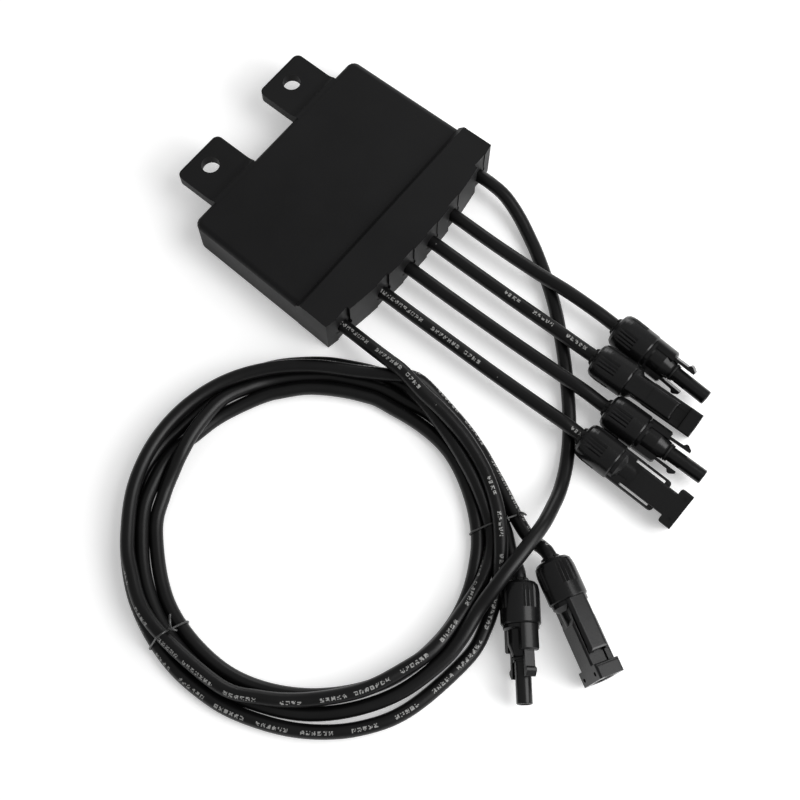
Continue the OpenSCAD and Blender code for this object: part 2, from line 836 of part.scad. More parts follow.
place(plug_at[2]) cable_seal();  // plug_seal_3
place(plug_at[2]) plug_body();  // plug_body_3
place(plug_at[2]) plug_contact();  // plug_contact_3
place(plug_at[2]) nose_ring();  // plug_ring_3
place(socket_at[0]) cap_nut();  // socket_nut_1
place(socket_at[0]) cable_seal();  // socket_seal_1
place(socket_at[0]) socket_body();  // socket_body_1
place(socket_at[0]) socket_contact();  // socket_contact_1
place(socket_at[1]) cap_nut();  // socket_nut_2
place(socket_at[1]) cable_seal();  // socket_seal_2
place(socket_at[1]) socket_body();  // socket_body_2
place(socket_at[1]) socket_contact();  // socket_contact_2
place(socket_at[2]) cap_nut();  // socket_nut_3
place(socket_at[2]) cable_seal();  // socket_seal_3
place(socket_at[2]) socket_body();  // socket_body_3
place(socket_at[2]) socket_contact();  // socket_contact_3
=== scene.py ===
import logging
import math
from dataclasses import dataclass, field
from enum import Enum

import bmesh
import bpy
import numpy as np
from mathutils import Euler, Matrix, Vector
from mathutils.geometry import convex_hull_2d


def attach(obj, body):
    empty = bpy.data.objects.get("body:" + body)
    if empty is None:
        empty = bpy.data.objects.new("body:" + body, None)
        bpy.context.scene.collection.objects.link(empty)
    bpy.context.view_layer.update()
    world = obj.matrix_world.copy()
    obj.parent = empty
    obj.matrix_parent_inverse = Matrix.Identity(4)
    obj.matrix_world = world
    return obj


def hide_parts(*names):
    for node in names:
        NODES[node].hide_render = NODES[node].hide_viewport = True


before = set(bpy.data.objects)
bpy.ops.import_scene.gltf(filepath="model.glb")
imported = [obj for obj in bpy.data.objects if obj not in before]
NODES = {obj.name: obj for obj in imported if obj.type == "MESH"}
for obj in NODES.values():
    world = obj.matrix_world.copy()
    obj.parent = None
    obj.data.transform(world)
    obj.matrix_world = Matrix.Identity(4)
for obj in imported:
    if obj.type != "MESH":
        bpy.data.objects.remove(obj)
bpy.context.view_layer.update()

log = logging.getLogger("rapid_shutdown_device")

Colour = tuple[float, float, float]
Point = tuple[float, float, float]
Pair = tuple[float, float]
Socket = bpy.types.NodeSocket

MM = 0.001
ROOT = "root"

# Sizes and places of cables and connectors are in millimetres in the row frame. Those of the camera,
# the lamps, the floor and the finishes are in metres.
# The cable's width over its jacket, and the distance between two axes where strands press together.
CABLE_D = 7.0
CABLE_R = CABLE_D / 2
PACKED_D = 6.9

# The height of a lying connector's axis.
AXIS_Z = 9.8

# Along a connector from its rear end: where the cable enters its gland, and where it is crimped.
GLAND_X = -1.6
CRIMP_X = 13.0

# The coil's clock face: its centre, the heading of its twelve o'clock and the turn of one hour.
COIL_CENTRE = (-147.6, -113.0)
CLOCK_ZERO = 39.2
DEGREES_PER_HOUR = 30.0

# The turn of the printed marks, in degrees, that puts them on a cable's underside.
HIDDEN = -90.0

# Samples between two points of a curve, and the distance between the rings of a drawn cable.
CURVE_SAMPLES = 24
RING_STEP = 3.0


def node_material(name: str, material: bpy.types.Material) -> None:
    """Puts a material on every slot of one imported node.

    Args:
        name: The node's name in the frame.
        material: What the node is made of.
    """
    obj = NODES[name]
    if not obj.material_slots:
        obj.data.materials.append(material)
    for entry in obj.material_slots:
        entry.material = material


def clock_point(hour: float, radius: float, z: float) -> Point:
    """Turns a place on the coil's clock face into a point of the row frame.

    Args:
        hour: Hours clockwise, seen from above. A second turn counts on past twelve.
        radius: Distance from the coil's centre.
        z: Height above the surface.

    Returns:
        The point.
    """
    angle = math.radians(CLOCK_ZERO - DEGREES_PER_HOUR * hour)
    return (COIL_CENTRE[0] + radius * math.cos(angle), COIL_CENTRE[1] + radius * math.sin(angle), z)


def on_clock(knots: list[Point]) -> list[Point]:
    """Turns places on the coil's clock face, each an hour, a radius and a height, into points."""
    return [clock_point(*knot) for knot in knots]


def distances(line: np.ndarray) -> np.ndarray:
    """Measures how far along a line each of its points lies."""
    return np.concatenate([[0.0], np.cumsum(np.linalg.norm(np.diff(line, axis=0), axis=1))])


def walk(line: np.ndarray, count: int) -> np.ndarray:
    """Places points at even distances along a line.

    Args:
        line: The line's own points.
        count: How many points to place, one at each end among them.

    Returns:
        The evenly spaced points.
    """
    run = distances(line)
    at = np.linspace(0, run[-1], count)
    return np.stack([np.interp(at, run, column) for column in line.T], axis=1)


def smooth_line(points: np.ndarray, step: float) -> np.ndarray:
    """Draws a Catmull-Rom curve through points and walks along it in even steps.

    Args:
        points: The points to pass through, in millimetres.
        step: Distance between the returned points.

    Returns:
        The evenly spaced points.
    """
    p = np.vstack([2 * points[0] - points[1], points, 2 * points[-1] - points[-2]])
    t = np.linspace(0, 1, CURVE_SAMPLES, endpoint=False)[:, None]
    spans = [0.5 * (2 * b + (c - a) * t + (2 * a - 5 * b + 4 * c - d) * t ** 2
                    + (3 * b - a - 3 * c + d) * t ** 3)
             for a, b, c, d in zip(p, p[1:], p[2:], p[3:])]
    fine = np.vstack(spans + [points[-1:]])
    count = max(2, int(round(distances(fine)[-1] / step)) + 1)
    return walk(fine, count)


def add_tube(mesh: bmesh.types.BMesh, line: np.ndarray, radius: float, sides: int, run: np.ndarray,
             turn: np.ndarray, across: Point = (0.0, 0.0, 1.0)) -> None:
    """Adds a round tube along a line, with closed ends and a map in metres.

    Args:
        mesh: The mesh that the tube joins.
        line: The centreline in millimetres.
        radius: The tube's radius in millimetres.
        sides: Faces round the tube.
        run: Millimetres along the line at each point, for the map.
        turn: How far round the tube the map's middle lies at each point, in degrees from its side.
        across: A direction that the line never takes.
    """
    uv = mesh.loops.layers.uv.get("run") or mesh.loops.layers.uv.new("run")
    tangents = np.gradient(line, axis=0)
    tangents /= np.linalg.norm(tangents, axis=1)[:, None]
    rings = []
    for point, tangent, shift in zip(line, tangents, turn):
        side = np.cross(tangent, across)
        side /= np.linalg.norm(side)
        up = np.cross(side, tangent)
        ring = []
        for k in range(sides):
            angle = 2 * math.pi * k / sides + math.radians(shift)
            offset = radius * (math.cos(angle) * side + math.sin(angle) * up)
            ring.append(mesh.verts.new(Vector((point + offset) * MM)))
        rings.append(ring)
    # the map counts both ways from its middle, so that its seam lies opposite the marks
    arc = 2 * math.pi * radius * MM / sides
    for i in range(len(rings) - 1):
        for k in range(sides):
            j = (k + 1) % sides
            face = mesh.faces.new((rings[i][k], rings[i][j], rings[i + 1][j], rings[i + 1][k]))
            face.smooth = True
            low = (k + sides / 2) % sides - sides / 2
            for loop, (a, b) in zip(face.loops, ((i, 0), (i, 1), (i + 1, 1), (i + 1, 0))):
                loop[uv].uv = (run[a] * MM, (low + b) * arc)
    mesh.faces.new(list(reversed(rings[0])))
    mesh.faces.new(rings[-1])


def finished(name: str, mesh: bmesh.types.BMesh) -> bpy.types.Object:
    """Turns a mesh under construction into an object of the scene.

    Args:
        name: The object's name.
        mesh: The mesh, which is used up.

    Returns:
        The object.
    """
    bmesh.ops.recalc_face_normals(mesh, faces=mesh.faces)
    data = bpy.data.meshes.new(name)
    mesh.to_mesh(data)
    mesh.free()
    obj = bpy.data.objects.new(name, data)
    bpy.context.collection.objects.link(obj)
    return obj


def sweep(name: str, line: np.ndarray, radius: float, sides: int, run: np.ndarray,
          turn: np.ndarray) -> bpy.types.Object:
    """Sweeps one tube along a line and makes it an object.

    Args:
        name: The object's name.
        line: The centreline in millimetres.
        radius: The tube's radius in millimetres.
        sides: Faces round the tube.
        run: Millimetres along the line at each point, for the map.
        turn: How far round the tube the map's middle lies at each point, in degrees.

    Returns:
        The tube.
    """
    mesh = bmesh.new()
    add_tube(mesh, line, radius, sides, run, turn)
    return finished(name, mesh)


class Graph:
    """A small helper that wires the nodes of one material."""

    def __init__(self, name: str) -> None:
        """Starts an empty material with a shader and an output.

        Args:
            name: The material's name.
        """
        self.material = bpy.data.materials.new(name)
        self.material.use_nodes = True
        self.tree = self.material.node_tree
        self.shader = self.tree.nodes["Principled BSDF"]

    def add(self, kind: str, **values: object) -> bpy.types.Node:
        """Adds a node and sets its properties or inputs.

        Args:
            kind: The node's type name.
            values: Properties, or inputs by their name with underscores for spaces.

        Returns:
            The new node.
        """
        node = self.tree.nodes.new(kind)
        for key, value in values.items():
            if hasattr(node, key):
                setattr(node, key, value)
            else:
                node.inputs[key.replace("_", " ")].default_value = value
        return node

    def link(self, source: Socket, target: Socket) -> None:
        """Joins an output to an input."""
        self.tree.links.new(source, target)

    def math(self, operation: str, a: Socket | float, b: Socket | float = 0.0) -> Socket:
        """Adds one sum on sockets or numbers.

        Args:
            operation: The name of the sum.
            a: First socket or number.
            b: Second socket or number.

        Returns:
            The socket with the result.
        """
        node = self.add("ShaderNodeMath", operation=operation)
        for entry, value in zip(node.inputs, (a, b)):
            if isinstance(value, Socket):
                self.link(value, entry)
            else:
                entry.default_value = value
        return node.outputs[0]

    def product(self, first: Socket, *others: Socket | float) -> Socket:
        """Multiplies sockets or numbers.

        Args:
            first: The first factor.
            others: The other factors.

        Returns:
            The socket with the product.
        """
        for factor in others:
            first = self.math("MULTIPLY", first, factor)
        return first

    def noise(self, scale: float, detail: float) -> Socket:
        """Adds a noise whose grain keeps its size on the object.

        Args:
            scale: Grains to a metre.
            detail: Octaves of finer grain.

        Returns:
            The socket with the noise's value.
        """
        place = self.add("ShaderNodeTexCoord").outputs["Object"]
        node = self.add("ShaderNodeTexNoise", Scale=scale, Detail=detail)
        self.link(place, node.inputs["Vector"])
        return node.outputs["Fac"]

    def ramp(self, source: Socket, low: float, high: float, dark: Colour, pale: Colour) -> Socket:
        """Maps a value between two colours.

        Args:
            source: The value to map.
            low: Value at which the first colour ends.
            high: Value at which the second colour starts.
            dark: First colour.
            pale: Second colour.

        Returns:
            The socket with the colour.
        """
        node = self.add("ShaderNodeValToRGB")
        first, last = node.color_ramp.elements
        first.position, first.color = low, (*dark, 1)
        last.position, last.color = high, (*pale, 1)
        self.link(source, node.inputs["Fac"])
        return node.outputs["Color"]

    def bump(self, height: Socket, strength: float, distance: float) -> None:
        """Wires a height into the shader's normal.

        Args:
            height: The height's socket.
            strength: How much of the bump shows.
            distance: The bump's depth in metres.
        """
        node = self.add("ShaderNodeBump", Strength=strength, Distance=distance)
        self.link(height, node.inputs["Height"])
        self.link(node.outputs["Normal"], self.shader.inputs["Normal"])


@dataclass(frozen=True)
class Moulding:
    """A moulded, cast or rolled surface with a fine grain.

    Attributes:
        name: The material's name.
        dark: The darker of its two tones.
        pale: The paler one.
        roughness: Its mean roughness.
        grain: Grains to a metre.
        depth: The grain's depth.
        metallic: One on metal.
        sheen: How strongly it mirrors.
        patches: Broad patches of tone and gloss to a metre.
        patch_share: How much of the tone the patches give. The grain gives the rest.
        tones: Where between nought and one the two tones are reached.
        gloss_swing: How far the patches change the roughness up and down.
        grain_strength: How much of the grain's depth shows.
    """

    name: str
    dark: Colour
    pale: Colour
    roughness: float
    grain: float = 1400.0
    depth: float = 0.00004
    metallic: float = 0.0
    sheen: float = 0.5
    patches: float = 24.0
    patch_share: float = 0.6
    tones: Pair = (0.35, 0.65)
    gloss_swing: float = 0.06
    grain_strength: float = 0.5

    def material(self) -> bpy.types.Material:
        """Builds the surface.

        Returns:
            The finished material.
        """
        graph = Graph(self.name)
        broad = graph.noise(self.patches, detail=4.0)
        fine = graph.noise(self.grain, detail=2.0)
        blend = graph.math("ADD", graph.product(broad, self.patch_share),
                           graph.product(fine, 1.0 - self.patch_share))
        graph.link(graph.ramp(blend, *self.tones, self.dark, self.pale), graph.shader.inputs["Base Color"])
        graph.shader.inputs["Metallic"].default_value = self.metallic
        graph.shader.inputs["Specular IOR Level"].default_value = self.sheen
        rough = graph.add("ShaderNodeMapRange", From_Min=0.3, From_Max=0.7,
                          To_Min=self.roughness - self.gloss_swing, To_Max=self.roughness + self.gloss_swing)
        graph.link(broad, rough.inputs["Value"])
        graph.link(rough.outputs["Result"], graph.shader.inputs["Roughness"])
        graph.bump(fine, self.grain_strength, self.depth)
        return graph.material


@dataclass(frozen=True)
class Jacket:
    """A cable's extruded jacket with pale printed marks along one side.

    Attributes:
        name: The material's name.
        dark: The darker of its two tones.
        pale: The paler one.
        ink: The marks' colour.
        roughness: Its roughness.
        sheen: How strongly it mirrors.
        patches: Broad patches of tone to a metre.
        tones: Where between nought and one the two tones are reached.
        grain: Grains to a metre.
        depth: The grain's depth.
        grain_strength: How much of the grain's depth shows.
        pitch: Length of one mark's cell along the cable.
        band: Height of the marks.
        period: Length along the cable after which the marks start again.
        printed: The share of that length that is printed.
        word: Cells to a word.
        word_fill: The share of its cells that the shortest word fills, and how much more the longest does.
        mark: Where in its cell a mark starts and ends.
        strokes: Squares along and up one mark.
        bare: The share of a mark's squares that has no ink.
        cover: How much of the ink shows.
    """

    name: str
    dark: Colour = (0.0025, 0.0025, 0.0026)
    pale: Colour = (0.005, 0.005, 0.0052)
    ink: Colour = (0.42, 0.42, 0.41)
    roughness: float = 0.36
    sheen: float = 0.26
    patches: float = 60.0
    tones: Pair = (0.3, 0.7)
    grain: float = 900.0
    depth: float = 0.00003
    grain_strength: float = 0.35
    pitch: float = 0.0026
    band: float = 0.0019
    period: float = 0.44
    printed: float = 0.9
    word: float = 8.0
    word_fill: Pair = (0.42, 0.5)
    mark: Pair = (0.1, 0.8)
    strokes: Pair = (5.0, 4.0)
    bare: float = 0.42
    cover: float = 0.7

    def material(self) -> bpy.types.Material:
        """Builds the jacket, whose map runs in metres along the cable and round it.

        Returns:
            The finished material.
        """
        graph = Graph(self.name)
        place = graph.add("ShaderNodeUVMap", uv_map="run").outputs["UV"]
        split = graph.add("ShaderNodeSeparateXYZ")
        graph.link(place, split.inputs["Vector"])
        along, across = split.outputs["X"], split.outputs["Y"]
        broad = graph.noise(self.patches, detail=3.0)
        body = graph.ramp(broad, *self.tones, self.dark, self.pale)
        mixed = graph.add("ShaderNodeMix", data_type="RGBA")
        graph.link(self.marks(graph, along, across), mixed.inputs["Factor"])
        graph.link(body, mixed.inputs["A"])
        mixed.inputs["B"].default_value = (*self.ink, 1)
        graph.link(mixed.outputs["Result"], graph.shader.inputs["Base Color"])
        graph.shader.inputs["Roughness"].default_value = self.roughness
        graph.shader.inputs["Specular IOR Level"].default_value = self.sheen
        graph.bump(graph.noise(self.grain, detail=2.0), self.grain_strength, self.depth)
        return graph.material

    def marks(self, graph: Graph, along: Socket, across: Socket) -> Socket:
        """Draws short pale strokes of no meaning in cells along the printed band.

        Args:
            graph: The jacket's nodes.
            along: Metres along the cable.
            across: Metres round the jacket from the middle of the printed band.

        Returns:
            The socket with how much ink shows.
        """
        cells = graph.math("DIVIDE", along, self.pitch)
        cell, inner = graph.math("FLOOR", cells), graph.math("FRACT", cells)
        words = graph.math("DIVIDE", cell, self.word)
        length = graph.add("ShaderNodeTexWhiteNoise", noise_dimensions="1D")
        graph.link(graph.math("FLOOR", words), length.inputs["W"])
        shortest, spread = self.word_fill
        fill = graph.math("ADD", graph.product(length.outputs["Value"], spread), shortest)
        in_word = graph.math("LESS_THAN", graph.math("FRACT", words), fill)
        repeat = graph.math("FRACT", graph.math("DIVIDE", along, self.period))
        in_repeat = graph.math("LESS_THAN", repeat, self.printed)
        started = graph.math("GREATER_THAN", inner, self.mark[0])
        unended = graph.math("LESS_THAN", inner, self.mark[1])
        in_band = graph.math("LESS_THAN", graph.math("ABSOLUTE", across), self.band / 2)
        columns, rows = self.strokes
        grid = graph.add("ShaderNodeCombineXYZ")
        graph.link(cell, grid.inputs["X"])
        graph.link(graph.math("FLOOR", graph.product(inner, columns)), grid.inputs["Y"])
        graph.link(graph.math("FLOOR", graph.math("DIVIDE", across, self.band / rows)), grid.inputs["Z"])
        stroke = graph.add("ShaderNodeTexWhiteNoise", noise_dimensions="3D")
        graph.link(grid.outputs["Vector"], stroke.inputs["Vector"])
        inked = graph.math("GREATER_THAN", stroke.outputs["Value"], self.bare)
        return graph.product(in_word, in_repeat, started, unended, in_band, inked, self.cover)


class Finish(Enum):
    """The named finishes of the device."""

    HOUSING = Moulding("housing_moulding", (0.0065, 0.0065, 0.0068), (0.0085, 0.0085, 0.0088), 0.5,
                       depth=0.00005, sheen=0.16)
    RESIN = Moulding("potting_resin", (0.012, 0.012, 0.012), (0.02, 0.02, 0.02), 0.3, 300.0)
    BOARD = Moulding("solder_mask", (0.01, 0.09, 0.035), (0.015, 0.12, 0.05), 0.35)
    PACKAGE = Moulding("chip_moulding", (0.012, 0.012, 0.013), (0.02, 0.02, 0.022), 0.6)
    CAPACITOR = Moulding("film_case", (0.6, 0.4, 0.06), (0.7, 0.48, 0.09), 0.4)
    FERRITE = Moulding("ferrite", (0.05, 0.055, 0.05), (0.08, 0.085, 0.08), 0.7)
    COPPER = Moulding("enamelled_copper", (0.55, 0.22, 0.1), (0.7, 0.32, 0.16), 0.32, metallic=1.0)
    SPREADER = Moulding("rolled_aluminium", (0.62, 0.63, 0.65), (0.74, 0.75, 0.77), 0.38, metallic=1.0)
    TIN = Moulding("tin_plate", (0.55, 0.55, 0.54), (0.72, 0.72, 0.7), 0.3, metallic=1.0)
    SEAL = Moulding("seal_rubber", (0.005, 0.005, 0.005), (0.009, 0.009, 0.009), 0.6, sheen=0.3)
    CONNECTOR = Moulding("connector_moulding", (0.0045, 0.0045, 0.0047), (0.007, 0.007, 0.0073), 0.24,
                         1000.0, sheen=0.34)
    TIE = Moulding("tie_coating", (0.03, 0.03, 0.03), (0.045, 0.045, 0.045), 0.28, sheen=0.7)


@dataclass(frozen=True)
class Viewpoint:
    """The camera that the photograph was taken with, as fitted to it.

    Attributes:
        azimuth: Its turn round the object, in degrees.
        elevation: Its rise over the floor, in degrees.
        distance: How far it stands from the point that it looks at.
        target: That point.
        lens: Focal length, in millimetres.
        sensor: The sensor's width, in millimetres.
        shift: The picture's shift across and up, in widths of the picture.
        reach: The furthest that it sees.
    """

    azimuth: float = -50.79
    elevation: float = 70.06
    distance: float = 0.6611
    target: Point = (-0.0671, -0.0993, 0.0)
    lens: float = 58.8
    sensor: float = 36.0
    shift: Pair = (0.0075, -0.00125)
    reach: float = 20.0

    def build(self) -> None:
        """Places the camera and makes it the scene's own."""
        data = bpy.data.cameras.new("viewpoint")
        data.lens = self.lens
        data.sensor_width = self.sensor
        data.shift_x, data.shift_y = self.shift
        data.clip_end = self.reach
        camera = bpy.data.objects.new("viewpoint", data)
        turn, rise = math.radians(self.azimuth), math.radians(self.elevation)
        back = Vector((math.sin(turn) * math.cos(rise), -math.cos(turn) * math.cos(rise), math.sin(rise)))
        camera.location = Vector(self.target) + self.distance * back
        camera.rotation_euler = Euler((math.pi / 2 - rise, 0.0, turn))
        bpy.context.collection.objects.link(camera)
        bpy.context.scene.camera = camera


@dataclass(frozen=True)
class Lamp:
    """One square soft box over the floor."""

    name: str
    place: Point
    size: float
    watts: float

    def build(self, target: Vector) -> None:
        """Hangs the lamp and aims it.

        Args:
            target: The point it shines at.
        """
        data = bpy.data.lights.new(self.name, "AREA")
        data.shape = "SQUARE"
        data.size = self.size
        data.energy = self.watts
        lamp = bpy.data.objects.new(self.name, data)
        lamp.location = self.place
        lamp.rotation_euler = (target - Vector(self.place)).to_track_quat("-Z", "Y").to_euler()
        bpy.context.collection.objects.link(lamp)


@dataclass
class Studio:
    """The pale floor, the soft lamps and the world.

    Attributes:
        floor_half: Half the floor's side.
        floor_colour: The floor's colour.
        floor_roughness: Its roughness.
        floor_lift: How much light it adds where the camera, gloss or glass sees it.
        room_light: Strength of the even light from all round.
        aim: The point that the lamps shine at.
        lamps: The soft boxes.
    """

    floor_half: float = 4.0
    floor_colour: Colour = (0.92, 0.92, 0.92)
    floor_roughness: float = 0.9
    floor_lift: float = 0.3
    room_light: float = 0.35
    aim: Point = (-0.08, -0.08, 0.0)
    lamps: list[Lamp] = field(default_factory=lambda: [
        Lamp("overhead_box", (0.4, -0.8, 1.0), 0.9, 9.0),
        Lamp("near_box", (0.2, -1.25, 0.7), 0.7, 8.5),
        Lamp("side_box", (1.15, 0.45, 0.5), 0.6, 4.0),
    ])

    def build(self) -> None:
        """Builds the floor, the lamps and the world."""
        self.floor()
        for lamp in self.lamps:
            lamp.build(Vector(self.aim))
        self.world()
        bpy.context.scene.view_settings.view_transform = "Standard"

    def floor(self) -> None:
        """Lays the floor, white to the camera and pale to the rest."""
        graph = Graph("floor_paper")
        graph.shader.inputs["Base Color"].default_value = (*self.floor_colour, 1)
        graph.shader.inputs["Roughness"].default_value = self.floor_roughness
        graph.shader.inputs["Emission Color"].default_value = (1, 1, 1, 1)
        ray = graph.add("ShaderNodeLightPath")
        seen = graph.math("MAXIMUM", ray.outputs["Is Camera Ray"], ray.outputs["Is Glossy Ray"])
        seen = graph.math("MAXIMUM", seen, ray.outputs["Is Transmission Ray"])
        graph.link(graph.product(seen, self.floor_lift), graph.shader.inputs["Emission Strength"])
        mesh = bpy.data.meshes.new("floor")
        h = self.floor_half
        mesh.from_pydata([(-h, -h, 0), (h, -h, 0), (h, h, 0), (-h, h, 0)], [], [(0, 1, 2, 3)])
        mesh.materials.append(graph.material)
        floor = bpy.data.objects.new("floor", mesh)
        bpy.context.collection.objects.link(floor)

    def world(self) -> None:
        """Fills the room with even pale light."""
        world = bpy.data.worlds.new("room")
        world.use_nodes = True
        back = world.node_tree.nodes["Background"]
        back.inputs["Color"].default_value = (1, 1, 1, 1)
        back.inputs["Strength"].default_value = self.room_light
        bpy.context.scene.world = world


class End(Enum):
    """The two kinds of connector, and the pieces of each."""

    PLUG = ("nut", "seal", "body", "contact", "ring")
    SOCKET = ("nut", "seal", "body", "contact")


@dataclass(frozen=True)
class Connector:
    """One moulded connector at the end of a cable.

    Attributes:
        name: Its kind and number.
        end: Its kind, with its pieces.
        rear: Where its rear end lies.
        heading: The way it points, in degrees.
        lift: How far its axis lies over that of the lowest ones.
    """

    name: str
    end: End
    rear: Pair
    heading: float
    lift: float = 0.0

    def on_axis(self, x: float) -> Point:
        """Gives a point on the connector's axis.

        Args:
            x: Distance along it from its rear end.

        Returns:
            The point in the row frame.
        """
        turn = math.radians(self.heading)
        return (self.rear[0] + x * math.cos(turn), self.rear[1] + x * math.sin(turn), AXIS_Z + self.lift)

    def nodes(self) -> dict[str, str]:
        """Names the node in the frame of each of the connector's pieces."""
        kind, number = self.name.split("_")
        return {piece: f"{kind}_{piece}_{number}" for piece in self.end.value}

    def dress(self, finishes: dict[Finish, bpy.types.Material]) -> None:
        """Gives each piece its finish.

        Args:
            finishes: The built materials.
        """
        special = {"contact": Finish.TIN, "seal": Finish.SEAL, "ring": Finish.SEAL}
        for piece, node in self.nodes().items():
            node_material(node, finishes[special.get(piece, Finish.CONNECTOR)])
        log.info("%s dressed", self.name)


PLUGS = [Connector("plug_1", End.PLUG, (31.8, -165.0), -93.0),
         Connector("plug_2", End.PLUG, (-6.6, -187.0), -89.5),
         Connector("plug_3", End.PLUG, (-103.9, -205.7), -140.0)]
SOCKETS = [Connector("socket_1", End.SOCKET, (10.8, -166.5), -88.5, 1.8),
           Connector("socket_2", End.SOCKET, (-26.6, -186.3), -91.0, 0.4),
           Connector("socket_3", End.SOCKET, (-86.4, -211.3), -119.0, 1.6)]


@dataclass
class Cable:
    """A cable from its exit in the housing to its connector.

    Attributes:
        name: The drawn cable's name.
        replaced: The CAD nodes that it stands for.
        exit: Where it leaves the housing's front.
        knots: The points that it passes between there and its connector.
        end: Its connector.
        lay: How it lies. Not used.
        print_turns: How far round it the marks sit, in degrees, at distances along it.
        print_start: How far into the pattern of marks it starts.
        inside: Its straight stretch inside the wall.
        exit_z: The height of its exit.
        stub: Its straight stretch in front of the wall, and the same inside the gland.
        approach: Its straight stretch before the gland.
        grip: How far in front of the wall, and before the gland, it can't be pressed aside.
        sides: Faces round it.
        step: Distance between the points that are settled.
        points: Its centreline, once it is routed.
        held: Which of those points stay where they are.
    """

    name: str
    replaced: tuple[str, ...]
    exit: Pair
    knots: list[Point]
    end: Connector
    lay: str = "loose"
    print_turns: tuple[Pair, ...] = ((0.0, HIDDEN),)
    print_start: float = 0.0
    inside: float = 10.5
    exit_z: float = 11.2
    stub: float = 4.0
    approach: float = 3.0
    grip: Pair = (3.0, 2.0)
    sides: int = 20
    step: float = 4.0
    points: np.ndarray = field(default_factory=lambda: np.zeros((0, 3)))
    held: np.ndarray = field(default_factory=lambda: np.zeros(0, bool))

    def route(self) -> None:
        """Runs a smooth line through the exit, the knots and the connector's gland."""
        x, y = self.exit
        start = [(x, y + self.inside, self.exit_z), (x, y, self.exit_z), (x, y - self.stub, self.exit_z)]
        along = (GLAND_X - self.approach, GLAND_X + self.stub, CRIMP_X)
        finish = [self.end.on_axis(place) for place in along]
        self.points = smooth_line(np.array(start + self.knots + finish), self.step)
        run = distances(self.points)
        wall, gland = self.grip
        self.held = (run < self.inside + wall) | (run > run[-1] - (CRIMP_X - GLAND_X) - gland)

    def build(self, jacket: bpy.types.Material) -> None:
        """Args:
            jacket: The jacket's material.
        """
        line = smooth_line(self.points, RING_STEP)
        run = distances(line)
        turn = np.interp(run, *zip(*self.print_turns))
        tube = sweep(self.name, line, CABLE_R, self.sides, run + self.print_start, turn)
        tube.data.materials.append(jacket)
        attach(tube, ROOT)
        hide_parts(*self.replaced)
        [NODES[node] for node in self.end.nodes().values()]


@dataclass(frozen=True)
class Settling:
    """The rounds of small moves in which the cables press each other apart, until they hardly touch.

    Attributes:
        rounds: How many there are.
        calm_rounds: The last of them, in which nothing is drawn back to its route.
        search_every: Rounds between two searches for points that lie near each other.
        search_within: How near those lie.
        own_length: Length along a cable within which its own points don't press each other.
        push: The share of an overlap that one round takes away from each side.
        least: The least distance that counts between two points.
        smoothing: How much a round smooths a cable's way off its route.
        calm_smoothing: The same in the calm rounds.
        pull: How much a round draws a cable back to its route.
    """

    rounds: int = 160
    calm_rounds: int = 24
    search_every: int = 10
    search_within: float = 3 * CABLE_D
    own_length: float = 4 * CABLE_D
    push: float = 0.35
    least: float = 0.01
    smoothing: float = 0.25
    calm_smoothing: float = 0.12
    pull: float = 0.012

    def settle(self, cables: list[Cable]) -> None:
        """Moves the points of the routed cables.

        Args:
            cables: The cables.
        """
        points = np.vstack([c.points for c in cables])
        owner = np.concatenate([np.full(len(c.points), i) for i, c in enumerate(cables)])
        order = np.concatenate([np.arange(len(c.points)) for c in cables])
        held = np.concatenate([c.held for c in cables])
        route, free = points.copy(), ~held
        one, other = np.triu_indices(len(points), 1)
        own = int(self.own_length / cables[0].step)
        apart = (owner[one] != owner[other]) | (order[other] - order[one] > own)
        one, other = one[apart], other[apart]
        between = (owner[:-2] == owner[2:]) & (owner[1:-1] == owner[2:])
        inner = np.flatnonzero((order[1:-1] > 0) & between) + 1
        inner = inner[free[inner]]
        for turn in range(self.rounds):
            calm = turn >= self.rounds - self.calm_rounds
            if turn % self.search_every == 0:
                near = np.linalg.norm(points[one] - points[other], axis=1) < self.search_within
                a, b = one[near], other[near]
            move = self.moves(points, a, b)
            move[held] = 0
            points += move
            drift = points - route
            smooth = 0.5 * (drift[inner - 1] + drift[inner + 1])
            points[inner] += (self.calm_smoothing if calm else self.smoothing) * (smooth - drift[inner])
            if not calm:
                points[free] += self.pull * (route[free] - points[free])
            points[:, 2] = np.maximum(points[:, 2], CABLE_R)
        start = 0
        for cable in cables:
            cable.points = points[start:start + len(cable.points)]
            start += len(cable.points)

    def moves(self, points: np.ndarray, a: np.ndarray, b: np.ndarray) -> np.ndarray:
        """Finds how far each point is pressed away by those that lie in its way.

        Args:
            points: The points of all cables.
            a: The number of the first point of each pair that may touch.
            b: The number of the second.

        Returns:
            Each point's move.
        """
        gap = points[a] - points[b]
        dist = np.linalg.norm(gap, axis=1)
        hit = dist < PACKED_D
        a, b, gap, dist = a[hit], b[hit], gap[hit], np.maximum(dist[hit], self.least)
        push = gap / dist[:, None] * ((PACKED_D - dist) * self.push)[:, None]
        move = np.zeros_like(points)
        count = np.zeros(len(points))
        for number, way in ((a, push), (b, -push)):
            np.add.at(move, number, way)
            np.add.at(count, number, 1)
        return move / np.maximum(count, 1)[:, None] ** 0.5


def least_gap(cables: list[Cable]) -> float:
    """Finds how near the axes of two different cables come.

    Args:
        cables: The laid cables.

    Returns:
        The least distance.
    """
    lines = [smooth_line(c.points, step=1.0) for c in cables]
    least = math.inf
    for i, one in enumerate(lines):
        for other in lines[i + 1:]:
            least = min(least, float(np.min(np.linalg.norm(one[:, None] - other[None], axis=2))))
    return least


